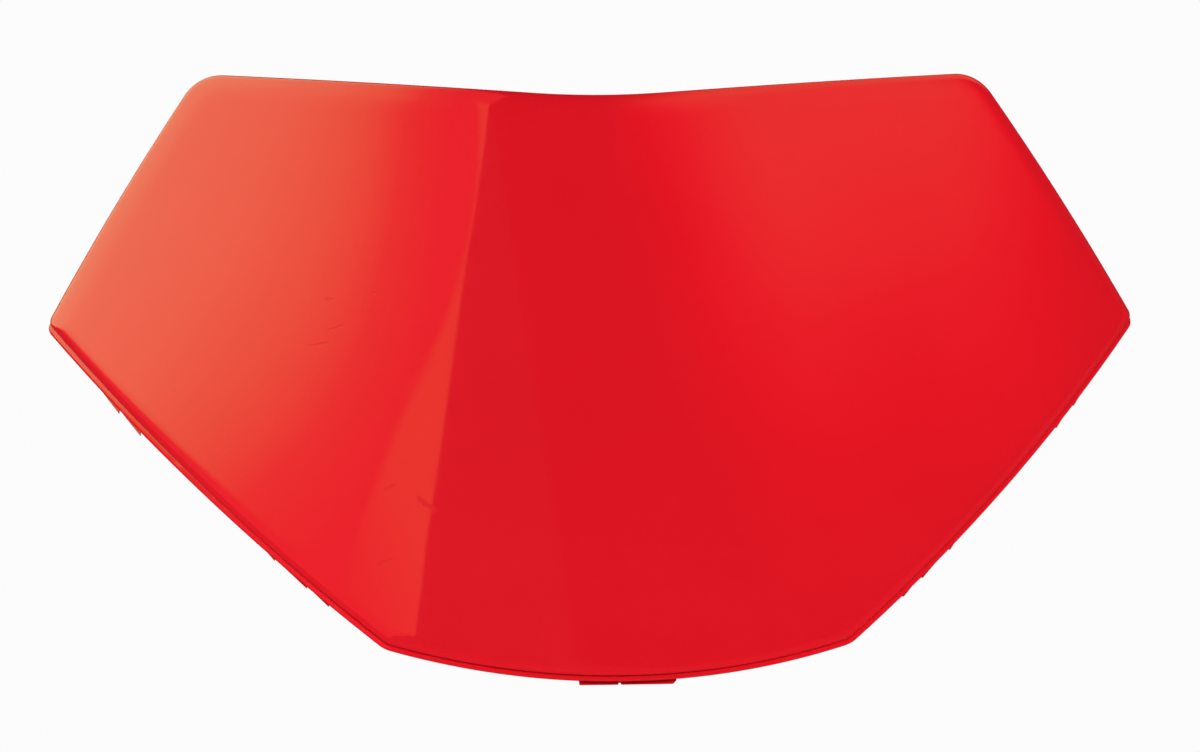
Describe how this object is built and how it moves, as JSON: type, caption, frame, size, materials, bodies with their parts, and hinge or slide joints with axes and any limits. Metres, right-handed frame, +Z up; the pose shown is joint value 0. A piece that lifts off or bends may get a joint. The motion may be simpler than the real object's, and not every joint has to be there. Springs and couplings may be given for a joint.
{
  "type": "headlight number plate",
  "caption": "Curved moulded plastic plate that snaps into a motorbike headlight mask to carry a race number, with a stepped lip along its lower edges and snap fingers behind that lip.",
  "frame": {"origin": "On the front face, on the centre line, level with the middle of the plate's height.", "axes": "As carried on the motorbike: X across the plate, Z up, the front faces -Y and leans back 25 degrees, so the top is further along +Y."},
  "size_m": [0.2302, 0.0792, 0.1248],
  "materials": {
    "red_plastic": "gloss"
  },
  "bodies": {
    "root": {"number_plate": "red_plastic"}
  },
  "joints": []
}
